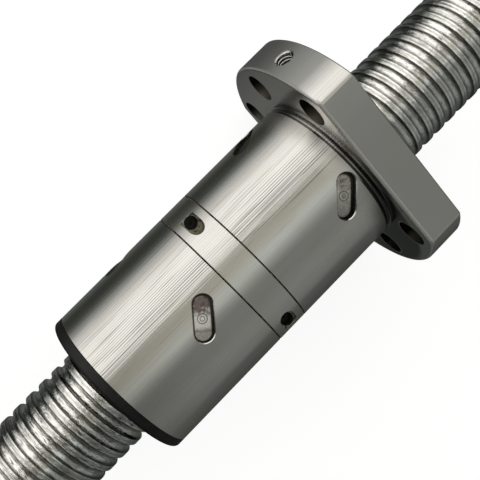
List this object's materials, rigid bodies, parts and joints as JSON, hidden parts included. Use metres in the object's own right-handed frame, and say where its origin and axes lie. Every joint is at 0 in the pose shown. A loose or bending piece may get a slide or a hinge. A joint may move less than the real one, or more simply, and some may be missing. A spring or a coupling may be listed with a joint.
{
  "type": "ball screw nut",
  "caption": "Flanged double ball nut with spacer, return deflectors and end wiper, running on its ground ball screw.",
  "frame": {"origin": "on the screw's axis, in the flange's mounting face (the face towards the nut's body)", "axes": "+X along the screw, out of the flange's outer face; +Z square to the flange's upper flat; +Y through the middle of one round lobe"},
  "size_m": [0.198, 0.08, 0.062],
  "materials": {
    "ground_steel": "finely ground",
    "spacer_steel": "turned and ground",
    "screw_steel": "ground, lightly oiled",
    "deflector_steel": "satin, sintered",
    "bright_steel": "polished",
    "spring_steel": "phosphated",
    "blackened_steel": "black oxide",
    "black_plastic": "matt moulded"
  },
  "bodies": {
    "nut": {"flanged_nut_body": "ground_steel", "plain_nut_body": "ground_steel", "spacer_seat_half": "spacer_steel", "spacer_tapped_half": "spacer_steel", "spacer_screws": "blackened_steel", "coupling_pins": "bright_steel", "end_wiper_ring": "black_plastic", "flange_wiper": "black_plastic", "flanged_deflector_1": "deflector_steel", "flanged_deflector_2": "deflector_steel", "flanged_deflector_3": "deflector_steel", "flanged_deflector_4": "deflector_steel", "plain_deflector_1": "deflector_steel", "plain_deflector_2": "deflector_steel", "plain_deflector_3": "deflector_steel", "plain_deflector_4": "deflector_steel"},
    "loose_ring": {"wiper_retaining_ring": "spring_steel"},
    "screw": {"screw_shaft": "screw_steel"}
  },
  "joints": [
    {"name": "screw_turn", "type": "hinge", "parent": "nut", "child": "loose_ring", "pos_m": [0, 0, 0], "axis": [1, 0, 0], "range_deg": [-2880, 2520]},
    {"name": "screw_travel", "type": "slide", "parent": "loose_ring", "child": "screw", "axis": [1, 0, 0], "range_m": [-0.04, 0.035]}
  ],
  "couplings": [
    {"joint": "screw_turn", "follows": "screw_travel", "rad_per_m": 1256.6}
  ]
}
